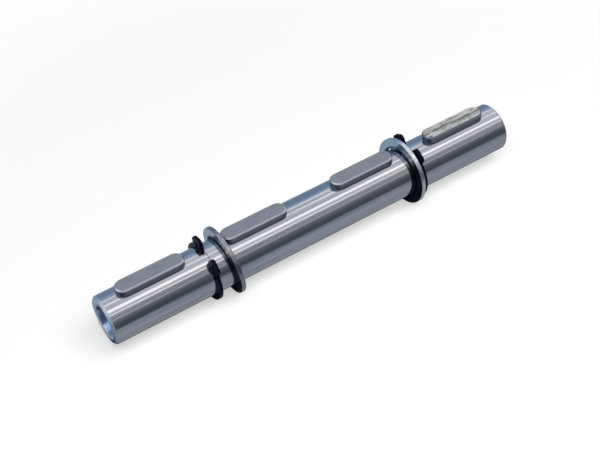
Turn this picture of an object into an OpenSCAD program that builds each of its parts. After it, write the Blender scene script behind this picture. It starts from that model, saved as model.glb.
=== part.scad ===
// Double-ended output shaft for a hollow-bore gear unit, with its keys, circlips and support washers.
// The shaft lies along X, left end at -X, with the keys facing +Z and the origin at mid-shaft on the axis.

/* [Shaft] */
// Diameter of the shaft
shaft_d = 14; // [13:0.5:24]
// Length of the shaft from end to end
shaft_l = 128; // [118:1:200]
// Chamfer round the rim of each end
end_chamfer = 0.6; // [0.3:0.1:1]

/* [Centre holes] */
// Diameter of the tapped core
core_d = 5; // [4:0.1:6]
// Depth of the drilled core, without its conical tip
core_depth = 21; // [12:0.5:26]
// Diameter of the plain counterbore in front of the thread
relief_d = 6.4; // [6.2:0.1:7]
// Depth of the counterbore from the end face
relief_depth = 5; // [4:0.1:6]
// Diameter at the mouth of the 60 degree centring cone
cone_d = 9.6; // [8:0.1:10]
// Diameter at the mouth of the 120 degree guard chamfer
mouth_d = 10.5; // [10.1:0.1:11]

/* [Keys] */
// Width of every key
key_w = 5; // [3:0.5:6]
// Height of every key
key_h = 5; // [4:0.5:6]
// Chamfer on the long edges and round ends of the keys
key_chamfer = 0.35; // [0.1:0.05:0.6]
// Depth of the keyways below the crown of the shaft
keyway_depth = 3.1; // [2:0.1:3.2]
// Clearance between a key and the wall of its keyway
key_clearance = 0.02; // [0.01:0.01:0.1]
// Length of the two outer keys
outer_key_l = 20; // [12:1:23]
// Length of the two inner keys
inner_key_l = 20; // [12:1:21]
// Distance from each end of the shaft to its outer key
outer_key_from_end = 5; // [3:0.5:6]
// Distance from each end of the shaft to its inner key
inner_key_from_end = 36.5; // [35.5:0.5:38]

/* [Circlips] */
// Distance from each end of the shaft to the circlip
circlip_from_end = 30; // [29:0.5:31]
// Thickness of the circlips
circlip_t = 1; // [0.8:0.1:1.5]
// Radial width of a circlip opposite its gap
circlip_back_w = 2.1; // [1.8:0.1:3]
// Radial width of a circlip where its arms meet the lugs
circlip_arm_w = 1.3; // [1:0.1:1.7]
// Radial height of the lugs
lug_h = 3.6; // [3.2:0.1:4.5]
// Width of the lugs
lug_w = 4.4; // [3.6:0.1:5]
// Radius of the outer corners of the lugs
lug_corner_r = 1.3; // [0.5:0.1:1.7]
// Radius that rounds off the inner corner of each lug at the gap
lug_tip_r = 1.6; // [0.3:0.1:1.8]
// Angle from the middle of the gap to the middle of each lug
lug_angle = 30; // [24:1:40]
// Diameter of the plier holes
plier_hole_d = 1.7; // [1:0.1:2]
// Angle by which the gap of the left circlip is turned towards the front
left_circlip_turn = 17; // [0:1:45]
// Angle by which the gap of the right circlip is turned towards the front
right_circlip_turn = 3; // [0:1:45]
// Depth of the circlip grooves
groove_depth = 0.3; // [0.2:0.05:0.5]
// Clearance between a circlip and the walls and floor of its groove
groove_clearance = 0.03; // [0.01:0.01:0.1]

/* [Washers] */
// Radial width of the support washers
washer_band = 2.6; // [2:0.05:4]
// Thickness of the support washers
washer_t = 1.2; // [0.8:0.1:1.5]
// Chamfer on the outer edges of the washers
washer_chamfer = 0.12; // [0.05:0.01:0.3]
// Lean of the left washer, whose top tips towards the left end
left_washer_lean = 4; // [0:0.5:8]
// Lean of the right washer, whose front tips towards the right end
right_washer_lean = 3; // [0:0.5:5]
// Angle from the top to the place that tips furthest on the right washer
right_washer_lean_turn = 65; // [0:5:90]
// Radial clearance of the leaning washers on the shaft
washer_clearance = 0.28; // [0.1:0.01:0.4]
// Gap left under the shaft, which sits low in the bores of the washers
washer_seat_gap = 0.05; // [0.03:0.01:0.09]
// Gap between the left washer and the tip of the inner key that stops it
left_washer_gap = 0.05; // [0.05:0.01:0.5]
// Gap between the right washer and its circlip, on the axis
right_washer_gap = 1.2; // [0.8:0.05:1.6]

/* [Hidden] */
$fn = 96;
left = -1;
right = 1;
steel = [0.72, 0.73, 0.76];
key_grey = [0.5, 0.51, 0.53];
spring_black = [0.07, 0.07, 0.08];

shaft_r = shaft_d / 2;
half_l = shaft_l / 2;
// Cutters reach this far past the surface that they open
overcut = 1;

// Full angles of the drill point, of the guard chamfer and of the centring cone
drill_point = 118;
guard_angle = 120;
cone_angle = 60;
core_tip = core_d / 2 / tan(drill_point / 2);
guard_depth = (mouth_d - cone_d) / 2 / tan(guard_angle / 2);
cone_depth = (cone_d - relief_d) / 2 / tan(cone_angle / 2);
relief_step = (relief_d - core_d) / 2;

key_r = key_w / 2;
keyway_floor = shaft_r - keyway_depth;

groove_r = shaft_r - groove_depth;
circlip_r = groove_r + groove_clearance;
// The outer edge of a circlip is a circle set off from the inner one, away from the gap
circlip_outer_r = circlip_r + (circlip_back_w + circlip_arm_w) / 2;
circlip_offset = (circlip_back_w - circlip_arm_w) / 2;
// The plier hole sits midway up its lug
plier_hole_at = circlip_r + lug_h / 2;

steepest_lean = max(left_washer_lean, right_washer_lean);
washer_bore_r = needed_bore_r(steepest_lean) + washer_clearance;
washer_outer_r = washer_bore_r + washer_band;

// Smallest bore radius that lets a washer lean by this angle on the shaft
function needed_bore_r(lean) = (shaft_r + washer_t / 2 * abs(sin(lean))) / cos(lean);

// Height of a leaning washer's centre above the axis when the shaft sits low in its bore
function washer_lift(lean) = (washer_bore_r - needed_bore_r(lean)) * cos(lean) - washer_seat_gap;

// A leaning washer meets the key's tip at the top of its bore, where the lean has drawn it back
left_washer_draw_back = washer_bore_r * sin(left_washer_lean);
left_washer_from_end = inner_key_from_end - left_washer_gap
    - washer_t / 2 / cos(left_washer_lean) + left_washer_draw_back;
right_washer_from_end = circlip_from_end + circlip_t + right_washer_gap + washer_t / 2;

// Places its children at one end of the shaft, with +X pointing inwards from the end face
module from_end(side) {
    mirror([side > 0 ? 1 : 0, 0, 0])
        translate([-half_l, 0, 0])
            children();
}

// Lays a form made about the Z axis along +X
module along_x() {
    rotate([90, 0, 90])
        children();
}

module shaft_blank() {
    along_x()
        rotate_extrude()
            polygon([
                [0, -half_l],
                [shaft_r - end_chamfer, -half_l],
                [shaft_r, -half_l + end_chamfer],
                [shaft_r, half_l - end_chamfer],
                [shaft_r - end_chamfer, half_l],
                [0, half_l]
            ]);
}

// Drilled, counterbored and countersunk centre hole, open at the end face
module centre_hole() {
    along_x()
        rotate_extrude()
            polygon([
                [0, -overcut],
                [mouth_d / 2, -overcut],
                [mouth_d / 2, 0],
                [cone_d / 2, guard_depth],
                [relief_d / 2, guard_depth + cone_depth],
                [relief_d / 2, relief_depth],
                [core_d / 2, relief_depth + relief_step],
                [core_d / 2, core_depth],
                [0, core_depth + core_tip]
            ]);
}

module circlip_groove() {
    translate([circlip_from_end - groove_clearance, 0, 0])
        along_x()
            difference() {
                cylinder(h = circlip_t + 2 * groove_clearance, r = shaft_r + overcut);
                translate([0, 0, -overcut])
                    cylinder(h = circlip_t + 2 * (groove_clearance + overcut), r = groove_r);
            }
}

// End-milled slot whose round ends match those of the key
module keyway(start, length) {
    slot_r = key_r + key_clearance;
    slot_h = keyway_depth + overcut;
    translate([start + key_r, 0, keyway_floor]) {
        translate([0, -slot_r, 0])
            cube([length - key_w, 2 * slot_r, slot_h]);
        for (x = [0, length - key_w])
            translate([x, 0, 0])
                cylinder(h = slot_h, r = slot_r);
    }
}

// Round-ended parallel key standing on the floor of its keyway
module parallel_key(start, length) {
    translate([start + key_r, 0, keyway_floor]) {
        along_x()
            linear_extrude(length - key_w)
                polygon([
                    [-key_r + key_chamfer, 0],
                    [key_r - key_chamfer, 0],
                    [key_r, key_chamfer],
                    [key_r, key_h - key_chamfer],
                    [key_r - key_chamfer, key_h],
                    [-key_r + key_chamfer, key_h],
                    [-key_r, key_h - key_chamfer],
                    [-key_r, key_chamfer]
                ]);
        for (x = [0, length - key_w])
            translate([x, 0, 0])
                rotate_extrude()
                    polygon([
                        [0, 0],
                        [key_r - key_chamfer, 0],
                        [key_r, key_chamfer],
                        [key_r, key_h - key_chamfer],
                        [key_r - key_chamfer, key_h],
                        [0, key_h]
                    ]);
    }
}

// One lug of a circlip, standing along +Y from inside the arm, with its gap at -X and rounded corners
module lug_outline() {
    lug_top = circlip_r + lug_h;
    lug_foot = sqrt(circlip_r * circlip_r - lug_w * lug_w / 4);
    corner_x = lug_w / 2 - lug_corner_r;
    tip_x = lug_w / 2 - lug_tip_r;
    tip_y = lug_foot + lug_tip_r;
    difference() {
        union() {
            translate([-lug_w / 2, 0])
                square([lug_w, lug_top - lug_corner_r]);
            translate([-corner_x, 0])
                square([2 * corner_x, lug_top]);
            for (x = [-corner_x, corner_x])
                translate([x, lug_top - lug_corner_r])
                    circle(lug_corner_r);
        }
        difference() {
            translate([-lug_w / 2 - overcut, -overcut])
                square([lug_tip_r + overcut, tip_y + overcut]);
            translate([-tip_x, tip_y])
                circle(lug_tip_r);
        }
    }
}

// Places its children at one end of a circlip, with +Y pointing outwards and -X towards the gap
module circlip_arm_end(side) {
    mirror([side < 0 ? 1 : 0, 0])
        rotate(-lug_angle)
            children();
}

// Flat outline of a circlip with its gap towards +Y
module circlip_outline() {
    reach = 2 * circlip_outer_r;
    difference() {
        union() {
            difference() {
                translate([0, -circlip_offset])
                    circle(circlip_outer_r);
                polygon([
                    [0, 0],
                    [-reach * sin(lug_angle), reach * cos(lug_angle)],
                    [reach * sin(lug_angle), reach * cos(lug_angle)]
                ]);
            }
            for (side = [left, right])
                circlip_arm_end(side)
                    lug_outline();
        }
        circle(circlip_r);
        for (side = [left, right])
            circlip_arm_end(side)
                translate([0, plier_hole_at])
                    circle(d = plier_hole_d);
    }
}

module circlip(side, turn) {
    from_end(side)
        translate([circlip_from_end, 0, 0])
            rotate([turn, 0, 0])
                along_x()
                    linear_extrude(circlip_t)
                        circlip_outline();
}

// Support washer that tips towards its end of the shaft, with the lean turned from the top to the front
module support_washer(side, place, lean, lean_turn) {
    half_t = washer_t / 2;
    from_end(side)
        translate([place, 0, washer_lift(lean)])
            rotate([lean_turn, 0, 0])
                rotate([0, -lean, 0])
                    along_x()
                        rotate_extrude()
                            polygon([
                                [washer_bore_r, -half_t],
                                [washer_outer_r - washer_chamfer, -half_t],
                                [washer_outer_r, -half_t + washer_chamfer],
                                [washer_outer_r, half_t - washer_chamfer],
                                [washer_outer_r - washer_chamfer, half_t],
                                [washer_bore_r, half_t]
                            ]);
}

module shaft() {
    color(steel)
        difference() {
            shaft_blank();
            for (side = [left, right])
                from_end(side) {
                    centre_hole();
                    circlip_groove();
                    keyway(outer_key_from_end, outer_key_l);
                    keyway(inner_key_from_end, inner_key_l);
                }
        }
}

module outer_key(side) {
    color(key_grey)
        from_end(side)
            parallel_key(outer_key_from_end, outer_key_l);
}

module inner_key(side) {
    color(key_grey)
        from_end(side)
            parallel_key(inner_key_from_end, inner_key_l);
}

module circlip_left() {
    color(spring_black)
        circlip(left, left_circlip_turn);
}

module circlip_right() {
    color(spring_black)
        circlip(right, right_circlip_turn);
}

module washer_left() {
    color(steel)
        support_washer(left, left_washer_from_end, left_washer_lean, 0);
}

module washer_right() {
    color(steel)
        support_washer(right, right_washer_from_end, right_washer_lean, right_washer_lean_turn);
}

shaft();
outer_key(left);  // outer_key_left
inner_key(left);  // inner_key_left
inner_key(right);  // inner_key_right
outer_key(right);  // outer_key_right
circlip_left();
circlip_right();
washer_left();
washer_right();
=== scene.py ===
import math

import bpy
from mathutils import Matrix, Vector


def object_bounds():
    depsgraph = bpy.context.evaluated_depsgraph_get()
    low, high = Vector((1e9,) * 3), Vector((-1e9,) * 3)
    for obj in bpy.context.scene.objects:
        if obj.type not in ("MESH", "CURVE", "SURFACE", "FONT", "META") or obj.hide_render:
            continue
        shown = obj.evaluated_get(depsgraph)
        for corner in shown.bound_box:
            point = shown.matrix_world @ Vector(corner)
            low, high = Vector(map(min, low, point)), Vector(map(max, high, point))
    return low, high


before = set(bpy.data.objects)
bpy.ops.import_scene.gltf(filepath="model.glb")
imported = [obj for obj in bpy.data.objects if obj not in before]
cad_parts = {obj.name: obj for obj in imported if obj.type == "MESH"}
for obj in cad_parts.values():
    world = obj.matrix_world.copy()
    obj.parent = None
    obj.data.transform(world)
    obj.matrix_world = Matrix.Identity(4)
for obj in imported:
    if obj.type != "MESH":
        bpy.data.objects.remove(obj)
cad_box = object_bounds()

MM = 0.001
scene = bpy.context.scene
scene.view_settings.view_transform = "Standard"

# The photograph's frame and the view of the shaft in it
IMAGE_WIDTH_PX = 600
FOCAL_PX = 1269.9
SENSOR_WIDTH = 36.0
VIEW_AZIMUTH = math.radians(-28.60)
VIEW_ELEVATION = math.radians(43.05)
VIEW_ROLL = math.radians(-6.31)
# Where the middle of the shaft lies in front of the camera: right, down and away
MIDDLE_FROM_CAMERA = Vector((2.893, -2.173, 350.0)) * MM

# Places on the shaft that its finish follows: where a hole's wall begins inside its bevels, the heights
# between which that wall turns from painted shade to a painted blue reflection, and the thread
HOLE_WALL_R = 4.6 * MM
HOLE_WALL_EDGE = 0.15 * MM
HOLE_SHADE_DOWN_TO = -0.5 * MM
HOLE_REFLECTION_FROM = -2.5 * MM
THREAD_R = 2.7 * MM
THREAD_EDGE = 0.05 * MM
THREAD_PITCH = 1.0 * MM
THREAD_DEPTH = 0.35 * MM
# The worn key's dark line, which wanders along the middle of its top, and the nick at a near corner
LINE_WANDER = 1.6 * MM
LINE_HALF_WIDTH = 0.6 * MM
LINE_CORE = 0.15 * MM
NICK_AT = Vector((40.2, -1.8, 8.85)) * MM
NICK_R = 0.5 * MM
# The washers' bores, and where the painted shade on their faces goes from none to full: down the front
# of the face, with an edge that strays, and inwards to the bore
WASHER_BORE_R = 7.5 * MM
WASHER_BORE_EDGE = 0.1 * MM
PAINTED_SHADE_DOWN = {"Y": -0.857, "Z": -0.515}
PAINTED_SHADE_FROM = 0.6 * MM
PAINTED_SHADE_TO = 3.4 * MM
PAINTED_SHADE_STRAY = 1.5 * MM
BORE_SHADE_FROM_R = 8.15 * MM
BORE_SHADE_TO_R = 7.6 * MM
BORE_SHADE_STRENGTH = 0.92

# Colours of the finishes, some of them painted light or shade as marked. A pair holds the two between
# which a grain varies
SHAFT = (0.335, 0.36, 0.415), (0.455, 0.485, 0.54)
SHAFT_BLOOM = (0.44, 0.45, 0.48)
SHAFT_END = (0.25, 0.3, 0.36)
# Painted highlight on the shaft's bevels
SHAFT_BEVEL_HIGHLIGHT = (0.47, 0.53, 0.6)
# The holes' walls, painted dark above as shade and blue below as a reflection
HOLE_PAINTED_SHADE = (0.17, 0.17, 0.195)
HOLE_PAINTED_REFLECTION = (0.25, 0.36, 0.6)
KEY_SIDE = (0.21, 0.24, 0.285)
# Painted shade on the keys' ends
KEY_END_PAINTED_SHADE = (0.1, 0.13, 0.185)
KEY_TOP = (0.235, 0.243, 0.26), (0.305, 0.313, 0.33)
KEY_PATCH = (0.29, 0.295, 0.31)
# Painted highlight on the keys' chamfers
KEY_CHAMFER_HIGHLIGHT = (0.45, 0.47, 0.5)
WORN_TOP = (0.55, 0.53, 0.5), (0.74, 0.72, 0.68)
WORN_STREAK = (0.33, 0.31, 0.28)
WORN_PATCH = (0.37, 0.35, 0.325)
WORN_RUST = (0.4, 0.31, 0.23)
WORN_LINE = (0.2, 0.18, 0.15)
# Painted shade on the worn key's chamfer
WORN_CHAMFER_PAINTED_SHADE = (0.17, 0.19, 0.22)
WORN_NICK = (0.15, 0.16, 0.17)
WASHER_RIM = (0.34, 0.355, 0.39), (0.4, 0.415, 0.45)
WASHER_FACE = (0.18, 0.21, 0.26), (0.21, 0.245, 0.295)
# Painted shade in the washers' bores
WASHER_BORE_PAINTED_SHADE = (0.02, 0.03, 0.045)
# The left washer is painted darker as shade and the right one lighter as light
LEFT_WASHER_SHADE_TONE = (0.68, 0.68, 0.7)
RIGHT_WASHER_LIGHT_TONE = (1.45, 1.45, 1.43)
# Painted shade over the washers' lower front faces and round their bores
WASHER_FACE_SHADE_COLOUR = (0.002, 0.005, 0.013)
BLACKED = (0.001, 0.002, 0.007), (0.003, 0.005, 0.013)
# How little light the washers' painted shade and the blackened steel mirror
DULL_SPECULAR = 0.03

# The set: floor, fill light and key light, then the tent, cards, flag and sheets, which show in
# the metal's mirror images alone
FLOOR_GAP = 0.05 * MM
FLOOR_Z = cad_box[0].z - FLOOR_GAP
FLOOR_HALF_WIDTH = 3.0
FLOOR_COLOUR = (0.96, 0.96, 0.96)
FLOOR_GLOW = 0.5
# How far from the middle the floor takes shade
FLOOR_SHADE_R = 0.12
FLOOR_GLOW_IN_MIRRORS = 0.05
FILL_LEVEL = 0.12
LAMP_ANGLE = 117
LAMP_DISTANCE = 0.8
LAMP_LENGTH = 1.0
LAMP_WIDTH = 0.5
LAMP_POWER = 8.9
TENT_RADIUS = 0.5
TENT_HALF_LENGTH = 1.5
TENT_SIDES = 90
# Colour of the tent's cloth at angles round the shaft: 0 is behind, 90 above and 180 in front
TENT_CLOTH = [
    (0, (0.26, 0.38, 0.5)),
    (22, (0.27, 0.39, 0.53)),
    (42, (0.5, 0.63, 0.84)),
    (52, (0.8, 0.84, 0.93)),
    (62, (0.95, 0.92, 0.92)),
    (124, (1.04, 0.99, 0.95)),
    (131, (0.6, 0.58, 0.57)),
    (145, (0.46, 0.46, 0.47)),
    (157, (0.35, 0.36, 0.38)),
    (168, (0.18, 0.2, 0.23)),
    (180, (0.12, 0.14, 0.165)),
]
# Angle, half width and extra brightness of each light strip in the tent's roof
TENT_STRIPS = [(55, 2, 0.74), (79, 2, 0.9), (109, 4, 1.26), (127.5, 1.5, 1.0), (151, 1.8, 0.72)]
STRIP_TINT = (1.06, 1.0, 0.94)
STRIP_EDGE = 1.2
# The dark card in front and the bright one beyond the left end, with colours from foot to top
FRONT_CARD_Y = -60 * MM
FRONT_CARD_HEIGHT = 45 * MM
FRONT_CARD_HALF_LENGTH = 0.3
FRONT_CARD_COLOURS = [
    (0.0, (0.105, 0.12, 0.14)),
    (0.35, (0.116, 0.13, 0.15)),
    (0.7, (0.22, 0.226, 0.237)),
    (1.0, (0.45, 0.45, 0.46)),
]
LEFT_CARD_X = -0.6
LEFT_CARD_HEIGHT = 0.7
LEFT_CARD_HALF_LENGTH = 0.6
LEFT_CARD_COLOURS = [
    (0.0, (0.47, 0.5, 0.53)),
    (0.3, (1.26, 1.37, 1.53)),
    (1.0, (1.47, 1.53, 1.58)),
]
# The dark slanted flag that the left hole mirrors, with its corners' places along X and Z
FLAG_Y = -55 * MM
FLAG_CORNERS = [(-0.09, FLOOR_Z), (-0.15, FLOOR_Z), (-0.29, 0.16), (-0.29, 0.23), (-0.09, 0.06)]
FLAG_COLOUR = (0.12, 0.14, 0.18)
# The sheets on the floor, with colours from front to back: one before and under the shaft, one behind
# it, and one past its left end, which meets the first just inside that end. The first and the last hold
# a dark band under the shaft, which is a painted shadow
SHEET_LIFT = 0.01 * MM
SHEET_RIGHT_X = 0.3
SHEETS_MEET_X = cad_box[0].x + 2 * MM
FRONT_SHEET_AND_SHADOW_COLOURS = [
    (-60 * MM, (0.19, 0.205, 0.23)),
    (-40 * MM, (0.38, 0.4, 0.43)),
    (-18 * MM, (0.49, 0.515, 0.55)),
    (-8 * MM, (0.42, 0.445, 0.475)),
    (-5 * MM, (0.42, 0.445, 0.475)),
    # Painted shadow under the shaft
    (-3 * MM, (0.02, 0.025, 0.04)),
    (10 * MM, (0.01, 0.015, 0.03)),
    (14 * MM, (0.68, 0.81, 0.95)),
    (24 * MM, (0.62, 0.74, 0.86)),
]
BACK_SHEET_COLOURS = [
    (24 * MM, (0.62, 0.74, 0.86)),
    (40 * MM, (0.34, 0.43, 0.53)),
    (140 * MM, (0.27, 0.37, 0.47)),
    (490 * MM, (0.26, 0.38, 0.5)),
]
LEFT_SHEET_X = -0.2
LEFT_SHEET_AND_SHADOW_COLOURS = [
    (-60 * MM, (0.2, 0.22, 0.25)),
    (-14 * MM, (0.27, 0.29, 0.32)),
    (-9 * MM, (0.42, 0.45, 0.49)),
    (-6 * MM, (0.42, 0.45, 0.49)),
    # Painted shadow under the shaft
    (-4 * MM, (0.05, 0.07, 0.11)),
    (1 * MM, (0.08, 0.11, 0.16)),
    (5 * MM, (0.35, 0.46, 0.57)),
    (24 * MM, (0.62, 0.74, 0.86)),
]


# The part of a noise's range that most of it lies in, and a spot's solid and faded parts of its radius
NOISE_LOW, NOISE_HIGH = 0.3, 0.7
SPOT_SOLID, SPOT_FADED = 0.7, 1.6


def grey(level):
    """A grey, as a colour."""
    return (level, level, level)


class Nodes:
    """Short forms for the shader nodes that the materials are made of."""

    def __init__(self, tree):
        self.tree = tree

    def add(self, kind, **settings):
        node = self.tree.nodes.new(kind)
        for name, value in settings.items():
            setattr(node, name, value)
        return node

    def link(self, source, target):
        self.tree.links.new(source, target)

    def place(self):
        """Object coordinates, in metres, which are those of the part's own frame."""
        return self.add("ShaderNodeTexCoord").outputs["Object"]

    def facing(self):
        """The surface's own direction, in the part's frame."""
        return self.add("ShaderNodeTexCoord").outputs["Normal"]

    def split(self, vector):
        node = self.add("ShaderNodeSeparateXYZ")
        self.link(vector, node.inputs["Vector"])
        return node.outputs

    def from_axis(self):
        """Distance from the shaft's axis and the angle round it."""
        axes = self.split(self.place())
        squares = [self.math("POWER", axes[name], 2.0) for name in "YZ"]
        radius = self.math("SQRT", self.math("ADD", *squares))
        return radius, self.math("ARCTAN2", axes["Z"], axes["Y"])

    def noise(self, grains, detail=2.0):
        """Noise with so many grains per metre along X, Y and Z."""
        mapping = self.add("ShaderNodeMapping")
        mapping.inputs["Scale"].default_value = grains
        self.link(self.place(), mapping.inputs["Vector"])
        node = self.add("ShaderNodeTexNoise")
        node.inputs["Scale"].default_value = 1.0
        node.inputs["Detail"].default_value = detail
        self.link(mapping.outputs["Vector"], node.inputs["Vector"])
        return node.outputs["Fac"]

    def rings(self, radius, per_metre):
        """Noise that changes with the radius alone, as turning leaves on an end face."""
        node = self.add("ShaderNodeTexNoise", noise_dimensions="1D")
        node.inputs["Scale"].default_value = per_metre
        self.link(radius, node.inputs["W"])
        return node.outputs["Fac"]

    def spot(self, centre, radius):
        """1 within a radius of a point and 0 well outside it."""
        node = self.add("ShaderNodeVectorMath", operation="DISTANCE")
        node.inputs[1].default_value = centre
        self.link(self.place(), node.inputs[0])
        return self.step(node.outputs["Value"], SPOT_FADED * radius, SPOT_SOLID * radius)

    def ramp(self, factor, stops):
        """Values between stops of (place, value), where a value is a grey or a colour."""
        node = self.add("ShaderNodeValToRGB")
        elements = node.color_ramp.elements
        while len(elements) < len(stops):
            elements.new(1.0)
        for element, (place, value) in zip(elements, stops):
            element.position = place
            colour = value if isinstance(value, tuple) else grey(value)
            element.color = (*colour, 1)
        self.link(factor, node.inputs["Fac"])
        return node.outputs["Color"]

    def vary(self, noise, low, high):
        """A grey or a colour that goes from low to high over most of a noise's range."""
        return self.ramp(noise, [(NOISE_LOW, low), (NOISE_HIGH, high)])

    def math(self, operation, a, b=None, clamp=False):
        node = self.add("ShaderNodeMath", operation=operation, use_clamp=clamp)
        for socket, value in zip(node.inputs, (a, b)):
            if isinstance(value, (int, float)):
                socket.default_value = value
            elif value is not None:
                self.link(value, socket)
        return node.outputs["Value"]

    def step(self, value, low, high):
        """0 at low, 1 at high and smooth between them, whichever of the two is larger."""
        node = self.add("ShaderNodeMapRange", interpolation_type="SMOOTHSTEP")
        node.inputs["From Min"].default_value = low
        node.inputs["From Max"].default_value = high
        self.link(value, node.inputs["Value"])
        return node.outputs["Result"]

    def mix(self, factor, a, b, blend="MIX"):
        """A colour between a and b, or another blend of them."""
        node = self.add("ShaderNodeMix", data_type="RGBA", blend_type=blend)
        sockets = [s for s in node.inputs if s.enabled]
        for socket, value in zip(sockets, (factor, a, b)):
            if isinstance(value, (int, float)):
                socket.default_value = value
            elif isinstance(value, tuple):
                socket.default_value = (*value, 1)
            else:
                self.link(value, socket)
        return next(s for s in node.outputs if s.enabled)

    def bump(self, height, depth, below=None):
        """A normal bent by a height, whose full swing is as deep as given in metres."""
        node = self.add("ShaderNodeBump")
        node.inputs["Strength"].default_value = 1.0
        node.inputs["Distance"].default_value = depth
        self.link(height, node.inputs["Height"])
        if below is not None:
            self.link(below, node.inputs["Normal"])
        return node.outputs["Normal"]


def metal(name):
    """A metal's shader and its nodes, with the colour and gloss still to be linked."""
    material = bpy.data.materials.new(name)
    material.use_nodes = True
    shader = material.node_tree.nodes["Principled BSDF"]
    shader.inputs["Metallic"].default_value = 1.0
    return material, shader, Nodes(material.node_tree)


def ground_steel():
    """Ground bar: marks round it, faint lines along it, turned ends, bevels painted lighter as a
    highlight, and tapped holes whose walls are painted dark above as shade and blue below as a
    reflection.
    """
    material, shader, n = metal("ground_steel")
    marks = n.noise((9000, 60, 60), detail=3)
    lines = n.noise((30, 1500, 1500), detail=3)
    bloom = n.noise((60, 160, 160), detail=3)
    at = n.split(n.place())
    radius, angle = n.from_axis()
    in_hole = n.step(radius, HOLE_WALL_R, HOLE_WALL_R - HOLE_WALL_EDGE)
    in_thread = n.step(radius, THREAD_R, THREAD_R - THREAD_EDGE)
    facing_x = n.math("ABSOLUTE", n.split(n.facing())["X"])
    on_end = n.step(facing_x, 0.9, 0.98)
    on_bevel = n.math("SUBTRACT", n.step(facing_x, 0.55, 0.65), on_end, clamp=True)

    colour = n.vary(lines, *SHAFT)
    colour = n.mix(n.step(bloom, 0.45, 0.75), colour, SHAFT_BLOOM)
    colour = n.mix(on_end, colour, SHAFT_END)
    # The bevels are painted lighter, as a highlight
    colour = n.mix(on_bevel, colour, SHAFT_BEVEL_HIGHLIGHT)
    # Painted shade high in the hole and a painted blue reflection low in it
    hole_light_and_shade = n.mix(n.step(at["Z"], HOLE_SHADE_DOWN_TO, HOLE_REFLECTION_FROM), HOLE_PAINTED_SHADE, HOLE_PAINTED_REFLECTION)
    n.link(n.mix(in_hole, colour, hole_light_and_shade), shader.inputs["Base Color"])

    rough = n.vary(marks, 0.08, 0.15)
    rough = n.mix(on_end, rough, grey(0.26))
    rough = n.mix(on_bevel, rough, grey(0.42))
    n.link(n.mix(in_hole, rough, grey(0.2)), shader.inputs["Roughness"])

    along = n.math("DIVIDE", at["X"], THREAD_PITCH)
    turns = n.math("SUBTRACT", along, n.math("DIVIDE", angle, math.tau))
    thread = n.math("MULTIPLY", n.math("PINGPONG", turns, 0.5), in_thread)
    turned = n.math("MULTIPLY", n.rings(radius, 5000), on_end)
    bent = n.bump(thread, 2 * THREAD_DEPTH)
    bent = n.bump(turned, 0.006 * MM, bent)
    bent = n.bump(lines, 0.002 * MM, bent)
    n.link(n.bump(marks, 0.001 * MM, bent), shader.inputs["Normal"])
    return material


def key_faces(n):
    """A mask for a key's top, one for the chamfer round it, and the colour of its sides and of its
    ends, which are painted darker as shade.
    """
    facing = n.split(n.facing())
    top = n.step(facing["Z"], 0.8, 0.95)
    chamfer = n.math("SUBTRACT", n.step(facing["Z"], 0.4, 0.6), top, clamp=True)
    # The ends are painted darker, as shade
    on_end = n.step(n.math("ABSOLUTE", facing["X"]), 0.3, 0.8)
    return top, chamfer, n.mix(on_end, KEY_SIDE, KEY_END_PAINTED_SHADE)


def key_steel():
    """Satin key bar: drawing lines along it, darker sides, ends painted darker as shade and a painted
    highlight on its chamfered edges.
    """
    material, shader, n = metal("key_steel")
    grain = n.noise((300, 2500, 2500), detail=3)
    patches = n.noise((250, 250, 250), detail=3)
    top, chamfer, sides_and_shaded_ends = key_faces(n)
    bright = n.vary(grain, *KEY_TOP)
    bright = n.mix(n.step(patches, 0.4, 0.7), bright, KEY_PATCH)
    colour = n.mix(top, sides_and_shaded_ends, bright)
    # The chamfer is painted lighter, as a highlight
    n.link(n.mix(chamfer, colour, KEY_CHAMFER_HIGHLIGHT), shader.inputs["Base Color"])
    n.link(n.vary(patches, 0.3, 0.4), shader.inputs["Roughness"])
    n.link(n.bump(grain, 0.004 * MM), shader.inputs["Normal"])
    return material


def worn_line(n, patches):
    """A mask for the dark line along the worn key, which is broken where the patches are weak."""
    wander = n.math("MULTIPLY", n.noise((230, 40, 40), detail=3), LINE_WANDER)
    across = n.math("ADD", n.split(n.place())["Y"], wander)
    off_line = n.math("ABSOLUTE", n.math("SUBTRACT", across, LINE_WANDER / 2))
    on_line = n.step(off_line, LINE_HALF_WIDTH, LINE_CORE)
    return n.math("MULTIPLY", on_line, n.step(patches, 0.35, 0.5))


def worn_key_steel():
    """Key rubbed bright along its top, with streaks, patches, rust, a dark line and a nick, and a
    chamfer painted dark as shade.
    """
    material, shader, n = metal("worn_key_steel")
    grain = n.noise((120, 2500, 2500), detail=3)
    streaks = n.noise((130, 1500, 1500), detail=4)
    patches = n.noise((330, 700, 700), detail=4)
    rust = n.noise((700, 1300, 1300), detail=3)
    top, chamfer, sides_and_shaded_ends = key_faces(n)
    bright = n.vary(grain, *WORN_TOP)
    bright = n.mix(n.step(streaks, 0.5, 0.66), bright, WORN_STREAK)
    bright = n.mix(n.step(patches, 0.5, 0.64), bright, WORN_PATCH)
    bright = n.mix(n.step(rust, 0.58, 0.68), bright, WORN_RUST)
    bright = n.mix(worn_line(n, patches), bright, WORN_LINE)
    colour = n.mix(top, sides_and_shaded_ends, bright)
    # The chamfer is painted dark, as shade
    colour = n.mix(chamfer, colour, WORN_CHAMFER_PAINTED_SHADE)
    n.link(n.mix(n.spot(NICK_AT, NICK_R), colour, WORN_NICK), shader.inputs["Base Color"])
    n.link(n.vary(grain, 0.36, 0.46), shader.inputs["Roughness"])
    n.link(n.bump(grain, 0.006 * MM), shader.inputs["Normal"])
    return material


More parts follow.
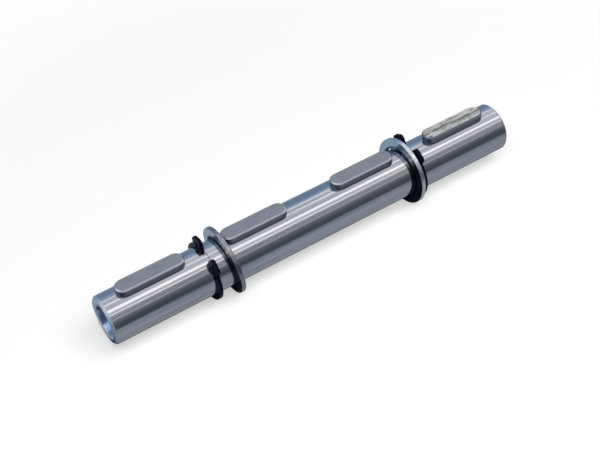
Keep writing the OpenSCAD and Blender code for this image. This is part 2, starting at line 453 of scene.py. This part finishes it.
def washer_shade_mask(n, at, radius, along):
    """A mask for the painted shade on the face towards the left end: over its lower front and round the
    bore.
    """
    stray = n.math("MULTIPLY", n.noise((200, 200, 200), detail=3), PAINTED_SHADE_STRAY)
    shares = [n.math("MULTIPLY", at[axis], share) for axis, share in PAINTED_SHADE_DOWN.items()]
    down = n.math("ADD", n.math("ADD", *shares), stray)
    front = n.step(down, PAINTED_SHADE_FROM, PAINTED_SHADE_TO)
    # Painted shade in a ring round the bore
    bore_shade = n.math("MULTIPLY", n.step(radius, BORE_SHADE_FROM_R, BORE_SHADE_TO_R), BORE_SHADE_STRENGTH)
    return n.math("MULTIPLY", n.math("MAXIMUM", front, bore_shade), n.step(along, -0.75, -0.9))


def washer_steel():
    """Bright, bluish washer, painted darker on the left as shade and lighter on the right as light,
    with a bore painted dark as shade and painted shade over the lower front of its face and round the
    bore.
    """
    material, shader, n = metal("washer_steel")
    grain = n.noise((1500, 1500, 1500), detail=3)
    at = n.split(n.place())
    radius, _ = n.from_axis()
    along = n.split(n.facing())["X"]
    on_face = n.step(n.math("ABSOLUTE", along), 0.75, 0.9)
    near_bore = n.step(radius, WASHER_BORE_R, WASHER_BORE_R - WASHER_BORE_EDGE)
    in_bore = n.math("SUBTRACT", near_bore, on_face, clamp=True)
    # Painted shade, dark and not metallic, over the lower front of the face and round the bore
    painted_shade = washer_shade_mask(n, at, radius, along)

    steel = n.mix(on_face, n.vary(grain, *WASHER_RIM), n.vary(grain, *WASHER_FACE))
    # Painted shade on the left washer and painted light on the right one
    washer_light_tone = n.mix(n.step(at["X"], -1 * MM, 1 * MM), LEFT_WASHER_SHADE_TONE, RIGHT_WASHER_LIGHT_TONE)
    steel = n.mix(1.0, steel, washer_light_tone, blend="MULTIPLY")
    # The bore is painted dark, as shade
    steel = n.mix(in_bore, steel, WASHER_BORE_PAINTED_SHADE)
    n.link(n.mix(painted_shade, steel, WASHER_FACE_SHADE_COLOUR), shader.inputs["Base Color"])
    n.link(n.math("SUBTRACT", 1.0, painted_shade), shader.inputs["Metallic"])
    shader.inputs["Specular IOR Level"].default_value = DULL_SPECULAR

    rough = n.mix(on_face, n.vary(grain, 0.22, 0.3), n.vary(grain, 0.08, 0.14))
    n.link(n.mix(painted_shade, rough, grey(0.35)), shader.inputs["Roughness"])
    n.link(n.bump(grain, 0.0005 * MM), shader.inputs["Normal"])
    return material


def black_spring_steel():
    """Blackened and oiled spring steel."""
    material, shader, n = metal("black_spring_steel")
    grain = n.noise((1800, 1800, 1800), detail=3)
    n.link(n.vary(grain, *BLACKED), shader.inputs["Base Color"])
    n.link(n.vary(grain, 0.3, 0.42), shader.inputs["Roughness"])
    shader.inputs["Metallic"].default_value = 0.0
    shader.inputs["Specular IOR Level"].default_value = DULL_SPECULAR
    return material


MATERIALS = {
    "ground_steel": ground_steel,
    "key_steel": key_steel,
    "worn_key_steel": worn_key_steel,
    "washer_steel": washer_steel,
    "black_spring_steel": black_spring_steel,
}


def dress_nodes():
    """Gives each CAD node the finish of its material slot."""
    made = {slot: make() for slot, make in MATERIALS.items()}
    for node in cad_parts.values():
        for holder in node.material_slots:
            slot = holder.material.name.split(".")[0]
            holder.material = made[slot]


def stage_mesh(name, corners, faces):
    """A part of the set, and the nodes of its empty material."""
    mesh = bpy.data.meshes.new(name)
    mesh.from_pydata(corners, [], faces)
    thing = bpy.data.objects.new(name, mesh)
    scene.collection.objects.link(thing)
    material = bpy.data.materials.new(name)
    material.use_nodes = True
    material.node_tree.nodes.clear()
    mesh.materials.append(material)
    return thing, Nodes(material.node_tree)


def only_in_mirrors(thing):
    """Shows a part of the set in reflections alone."""
    thing.visible_camera = False
    thing.visible_diffuse = False
    thing.visible_shadow = False


def glow(n, colour):
    """Lets a part of the set shine with one colour or with a node's colours."""
    shine = n.add("ShaderNodeEmission")
    if isinstance(colour, tuple):
        shine.inputs["Color"].default_value = (*colour, 1)
    else:
        n.link(colour, shine.inputs["Color"])
    n.link(shine.outputs["Emission"], n.add("ShaderNodeOutputMaterial").inputs["Surface"])


def flat_corners(x_range, y_range, z):
    """The corners of a level rectangle."""
    (x0, x1), (y0, y1) = x_range, y_range
    return [(x0, y0, z), (x1, y0, z), (x1, y1, z), (x0, y1, z)]


def mirror_rays(n):
    """1 for the rays by which metal and glass see the set."""
    path = n.add("ShaderNodeLightPath")
    return n.math("MAXIMUM", path.outputs["Is Glossy Ray"], path.outputs["Is Transmission Ray"])


def camera_rays(n):
    """1 for the rays by which the camera sees the set."""
    return n.add("ShaderNodeLightPath").outputs["Is Camera Ray"]


def add_floor():
    """A wide pale floor that takes the object's shadow round it and is white farther off."""
    reach = (-FLOOR_HALF_WIDTH, FLOOR_HALF_WIDTH)
    _, n = stage_mesh("floor", flat_corners(reach, reach, FLOOR_Z), [(0, 1, 2, 3)])
    matt = n.add("ShaderNodeBsdfDiffuse")
    matt.inputs["Color"].default_value = (*FLOOR_COLOUR, 1)
    white = n.add("ShaderNodeEmission")
    mix = n.add("ShaderNodeMixShader")
    in_mirrors = n.math("MULTIPLY", mirror_rays(n), FLOOR_GLOW_IN_MIRRORS)
    shaded = n.math("MULTIPLY", n.spot((0, 0, 0), FLOOR_SHADE_R), 1 - FLOOR_GLOW)
    to_camera = n.math("MULTIPLY", camera_rays(n), n.math("SUBTRACT", 1.0, shaded))
    n.link(n.math("MAXIMUM", in_mirrors, to_camera), mix.inputs["Fac"])
    n.link(matt.outputs["BSDF"], mix.inputs[1])
    n.link(white.outputs["Emission"], mix.inputs[2])
    n.link(mix.outputs["Shader"], n.add("ShaderNodeOutputMaterial").inputs["Surface"])


def add_world():
    """White surroundings, which light matt surfaces at a low, even level."""
    world = bpy.data.worlds.new("studio")
    scene.world = world
    world.use_nodes = True
    n = Nodes(world.node_tree)
    background = world.node_tree.nodes["Background"]
    background.inputs["Color"].default_value = (1, 1, 1, 1)
    seen = n.math("MAXIMUM", camera_rays(n), mirror_rays(n))
    n.link(n.math("MAXIMUM", seen, FILL_LEVEL), background.inputs["Strength"])


def round_shaft(angle, distance):
    """The point in the YZ plane at an angle round the axis: 0 is behind, 90 above and 180 in front."""
    turn = math.radians(angle)
    return Vector((0, distance * math.cos(turn), distance * math.sin(turn)))


def add_key_light():
    """One soft lamp high in front of the shaft."""
    light = bpy.data.lights.new("key_light", "AREA")
    light.shape = "RECTANGLE"
    light.size = LAMP_LENGTH
    light.size_y = LAMP_WIDTH
    light.energy = LAMP_POWER
    lamp = bpy.data.objects.new("key_light", light)
    scene.collection.objects.link(lamp)
    place = round_shaft(LAMP_ANGLE, LAMP_DISTANCE)
    along = Vector((1, 0, 0))
    back = place.normalized()
    turn = Matrix((along, back.cross(along), back)).transposed().to_4x4()
    lamp.matrix_world = Matrix.Translation(place) @ turn
    lamp.visible_glossy = False


def strip_stops():
    """Extra brightness round the tent, where its strips are."""
    stops = []
    for angle, half_width, brightness in TENT_STRIPS:
        near, far = angle - half_width, angle + half_width
        light = tuple(brightness * share for share in STRIP_TINT)
        edges = [(near - STRIP_EDGE, 0.0), (near, light), (far, light), (far + STRIP_EDGE, 0.0)]
        stops += [(place / 180, value) for place, value in edges]
    return stops


def add_tent():
    """Half a drum of white cloth over the shaft, with light strips along its roof."""
    corners = []
    for i in range(TENT_SIDES + 1):
        point = round_shaft(180 * i / TENT_SIDES, TENT_RADIUS)
        corners += [(-TENT_HALF_LENGTH, point.y, point.z), (TENT_HALF_LENGTH, point.y, point.z)]
    faces = [(2 * i, 2 * i + 1, 2 * i + 3, 2 * i + 2) for i in range(TENT_SIDES)]
    tent, n = stage_mesh("tent", corners, faces)
    only_in_mirrors(tent)
    axes = n.split(n.place())
    share = n.math("DIVIDE", n.math("ARCTAN2", axes["Z"], axes["Y"]), math.pi)
    cloth = n.ramp(share, [(angle / 180, colour) for angle, colour in TENT_CLOTH])
    glow(n, n.mix(1.0, cloth, n.ramp(share, strip_stops()), blend="ADD"))


def add_card(name, corners, height, colours):
    """An upright card on the floor, with colours from its foot to its top."""
    (x0, y0), (x1, y1) = corners
    top = FLOOR_Z + height
    points = [(x0, y0, FLOOR_Z), (x1, y1, FLOOR_Z), (x1, y1, top), (x0, y0, top)]
    card, n = stage_mesh(name, points, [(0, 1, 2, 3)])
    only_in_mirrors(card)
    above_floor = n.math("SUBTRACT", n.split(n.place())["Z"], FLOOR_Z)
    glow(n, n.ramp(n.math("DIVIDE", above_floor, height), colours))


def add_cards():
    """A dark card in front of the shaft and a bright one beyond its left end."""
    reach = FRONT_CARD_HALF_LENGTH
    front = ((-reach, FRONT_CARD_Y), (reach, FRONT_CARD_Y))
    add_card("front_card", front, FRONT_CARD_HEIGHT, FRONT_CARD_COLOURS)
    reach = LEFT_CARD_HALF_LENGTH
    left = ((LEFT_CARD_X, -reach), (LEFT_CARD_X, reach))
    add_card("left_card", left, LEFT_CARD_HEIGHT, LEFT_CARD_COLOURS)


def add_flag():
    """A dark flag in front of the left end."""
    points = [(x, FLAG_Y, z) for x, z in FLAG_CORNERS]
    flag, n = stage_mesh("flag", points, [tuple(range(len(points)))])
    only_in_mirrors(flag)
    glow(n, FLAG_COLOUR)


def add_sheet(name, x_range, colours):
    """A sheet lying just above the floor, with colours at places from its front to its back."""
    y0, y1 = colours[0][0], colours[-1][0]
    sheet, n = stage_mesh(name, flat_corners(x_range, (y0, y1), FLOOR_Z + SHEET_LIFT), [(0, 1, 2, 3)])
    only_in_mirrors(sheet)
    share = n.math("DIVIDE", n.math("SUBTRACT", n.split(n.place())["Y"], y0), y1 - y0)
    glow(n, n.ramp(share, [((y - y0) / (y1 - y0), colour) for y, colour in colours]))


def add_sheets():
    """The sheets before and under the shaft, behind it and past its left end, with a painted shadow
    under the shaft.
    """
    add_sheet("front_sheet", (SHEETS_MEET_X, SHEET_RIGHT_X), FRONT_SHEET_AND_SHADOW_COLOURS)
    add_sheet("back_sheet", (LEFT_SHEET_X, SHEET_RIGHT_X), BACK_SHEET_COLOURS)
    add_sheet("left_sheet", (LEFT_SHEET_X, SHEETS_MEET_X), LEFT_SHEET_AND_SHADOW_COLOURS)


def add_camera():
    """The camera at the photograph's view of the shaft."""
    data = bpy.data.cameras.new("camera")
    data.sensor_width = SENSOR_WIDTH
    data.lens = FOCAL_PX / IMAGE_WIDTH_PX * SENSOR_WIDTH
    data.clip_start = 0.01
    data.clip_end = 20
    camera = bpy.data.objects.new("camera", data)
    scene.collection.objects.link(camera)
    a, e, r = VIEW_AZIMUTH, VIEW_ELEVATION, VIEW_ROLL
    back = Vector((math.sin(a) * math.cos(e), -math.cos(a) * math.cos(e), math.sin(e)))
    level = Vector((math.cos(a), math.sin(a), 0))
    upright = back.cross(level)
    right = math.cos(r) * level + math.sin(r) * upright
    up = math.cos(r) * upright - math.sin(r) * level
    middle = MIDDLE_FROM_CAMERA
    place = -(right * middle.x - up * middle.y - back * middle.z)
    turn = Matrix((right, up, back)).transposed().to_4x4()
    camera.matrix_world = Matrix.Translation(place) @ turn
    scene.camera = camera


dress_nodes()
add_floor()
add_world()
add_key_light()
add_tent()
add_cards()
add_flag()
add_sheets()
add_camera()
